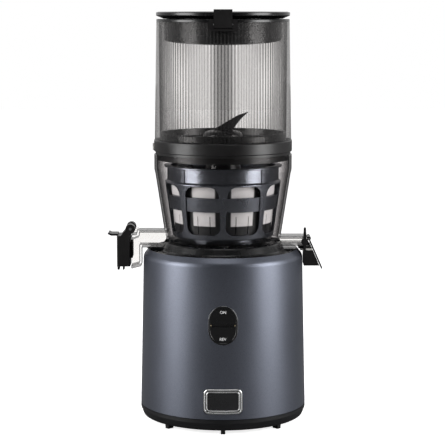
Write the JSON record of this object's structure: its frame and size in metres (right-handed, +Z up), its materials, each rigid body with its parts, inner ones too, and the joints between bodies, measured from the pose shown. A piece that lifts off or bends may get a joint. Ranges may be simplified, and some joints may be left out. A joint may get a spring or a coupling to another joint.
{
  "type": "cold press juicer",
  "caption": "Upright slow juicer: motor base with two push buttons, clear juice bowl with capped spout and pulp spout, ribbed hopper and latched lid.",
  "frame": {"origin": "on the body's axis, in the plane the feet stand on", "axes": "+Z up along the body's axis, -Y towards the buttons, -X towards the juice spout"},
  "size_m": [0.2409, 0.1889, 0.46],
  "materials": {
    "body_paint": "satin metallic",
    "base_plastic": "fine grain",
    "black_gloss": "gloss",
    "button_plastic": "satin",
    "bright_trim": "polished",
    "lamp": "clear",
    "soft_rubber": "matte",
    "light_seal": "matte",
    "dark_seal": "matte",
    "clear_plastic": "clear",
    "smoky_plastic": "clear, ribbed",
    "lid_plastic": "gloss",
    "strainer_plastic": "satin",
    "pale_liner": "translucent",
    "steel": "ground",
    "winding_copper": "varnished wire",
    "gear_plastic": "moulded"
  },
  "bodies": {
    "base": {"body_shell": "body_paint", "base_cover": "base_plastic", "rubber_feet": "soft_rubber", "cover_screws": "steel", "top_deck": "base_plastic", "shaft_seal": "soft_rubber", "cord_gland": "soft_rubber", "badge_frame": "bright_trim", "badge_plate": "bright_trim", "button_bezel": "bright_trim", "button_guide": "black_gloss", "indicator_lights": "lamp", "on_button_spring": "steel", "rev_button_spring": "steel", "switch_board": "base_plastic", "motor_can": "steel", "motor_bearings": "steel", "stator": "steel", "windings": "winding_copper", "motor_bracket": "steel", "gearbox_base": "gear_plastic", "gearbox_case": "gear_plastic", "gearbox_screws": "steel", "shaft_bearing": "steel", "circuit_board": "base_plastic"},
    "motor_rotor": {"rotor": "steel", "motor_shaft": "steel", "cooling_fan": "gear_plastic"},
    "idler": {"compound_gear": "gear_plastic"},
    "drive": {"drive_shaft": "steel", "output_gear": "gear_plastic"},
    "on_key": {"on_button": "button_plastic"},
    "rev_key": {"rev_button": "button_plastic"},
    "bowl": {"juice_bowl": "clear_plastic", "bowl_seal": "soft_rubber", "pulp_gasket": "dark_seal", "chute_trim": "light_seal", "pulp_chute": "black_gloss", "spout_pins": "steel"},
    "spout_cap": {"juice_cap": "black_gloss", "cap_pad": "soft_rubber"},
    "flap": {"pulp_flap": "black_gloss"},
    "lever": {"pulp_lever": "black_gloss"},
    "strainer": {"strainer_frame": "strainer_plastic", "fine_strainer": "pale_liner"},
    "screw": {"auger": "strainer_plastic", "auger_socket": "steel", "cutting_wing": "strainer_plastic"},
    "hopper_group": {"hopper": "smoky_plastic", "hopper_ring": "black_gloss", "index_tab": "light_seal", "hopper_floor": "black_gloss", "hopper_collar": "black_gloss", "lid_pin": "steel", "latch_housing": "black_gloss", "latch_pin": "steel", "latch_spring": "steel"},
    "lid_group": {"lid": "lid_plastic", "lid_gasket": "soft_rubber"},
    "catch": {"latch": "black_gloss"}
  },
  "joints": [
    {"name": "rotor_spin", "type": "hinge", "parent": "base", "child": "motor_rotor", "pos_m": [0, 0, 0.06], "axis": [0, 0, 1], "continuous": true},
    {"name": "idler_spin", "type": "hinge", "parent": "base", "child": "idler", "pos_m": [0, 0.028, 0.12], "axis": [0, 0, 1], "continuous": true},
    {"name": "drive_spin", "type": "hinge", "parent": "base", "child": "drive", "pos_m": [0, 0, 0.16], "axis": [0, 0, 1], "continuous": true},
    {"name": "on_press", "type": "slide", "parent": "base", "child": "on_key", "axis": [0, 1, 0], "range_m": [0, 0.0015], "stiffness_N_per_m": 400, "springref_m": -0.001, "deforming": ["on_button_spring"]},
    {"name": "rev_press", "type": "slide", "parent": "base", "child": "rev_key", "axis": [0, 1, 0], "range_m": [0, 0.0015], "stiffness_N_per_m": 400, "springref_m": -0.001, "deforming": ["rev_button_spring"]},
    {"name": "bowl_lift", "type": "slide", "parent": "base", "child": "bowl", "axis": [0, 0, 1], "range_m": [0, 0.06]},
    {"name": "cap_swing", "type": "hinge", "parent": "bowl", "child": "spout_cap", "pos_m": [-0.1038, 0, 0.2163], "axis": [0, 1, 0], "range_deg": [0, 95]},
    {"name": "flap_swing", "type": "hinge", "parent": "bowl", "child": "flap", "pos_m": [0.0966, 0, 0.2052], "axis": [0, -1, 0], "range_deg": [0, 60]},
    {"name": "lever_turn", "type": "hinge", "parent": "bowl", "child": "lever", "pos_m": [0.0915, 0, 0.20245], "axis": [0, -1, 0], "range_deg": [0, 90]},
    {"name": "strainer_lift", "type": "slide", "parent": "bowl", "child": "strainer", "axis": [0, 0, 1], "range_m": [0, 0.105]},
    {"name": "screw_spin", "type": "hinge", "parent": "strainer", "child": "screw", "pos_m": [0, 0, 0.26], "axis": [0, 0, 1], "continuous": true},
    {"name": "hopper_lift", "type": "slide", "parent": "strainer", "child": "hopper_group", "axis": [0, 0, 1], "range_m": [0, 0.06]},
    {"name": "lid_swing", "type": "hinge", "parent": "hopper_group", "child": "lid_group", "pos_m": [0, 0.078, 0.452], "axis": [-1, 0, 0], "range_deg": [0, 105]},
    {"name": "latch_swing", "type": "hinge", "parent": "hopper_group", "child": "catch", "pos_m": [0, -0.0784, 0.4435], "axis": [1, 0, 0], "range_deg": [0, 12], "stiffness_Nm_per_rad": 0.02, "springref_deg": -5.73, "deforming": ["latch_spring"]}
  ],
  "couplings": [
    {"joint": "idler_spin", "follows": "rotor_spin", "ratio": -0.16667},
    {"joint": "drive_spin", "follows": "rotor_spin", "ratio": 0.036232},
    {"joint": "screw_spin", "follows": "rotor_spin", "ratio": 0.036232}
  ]
}
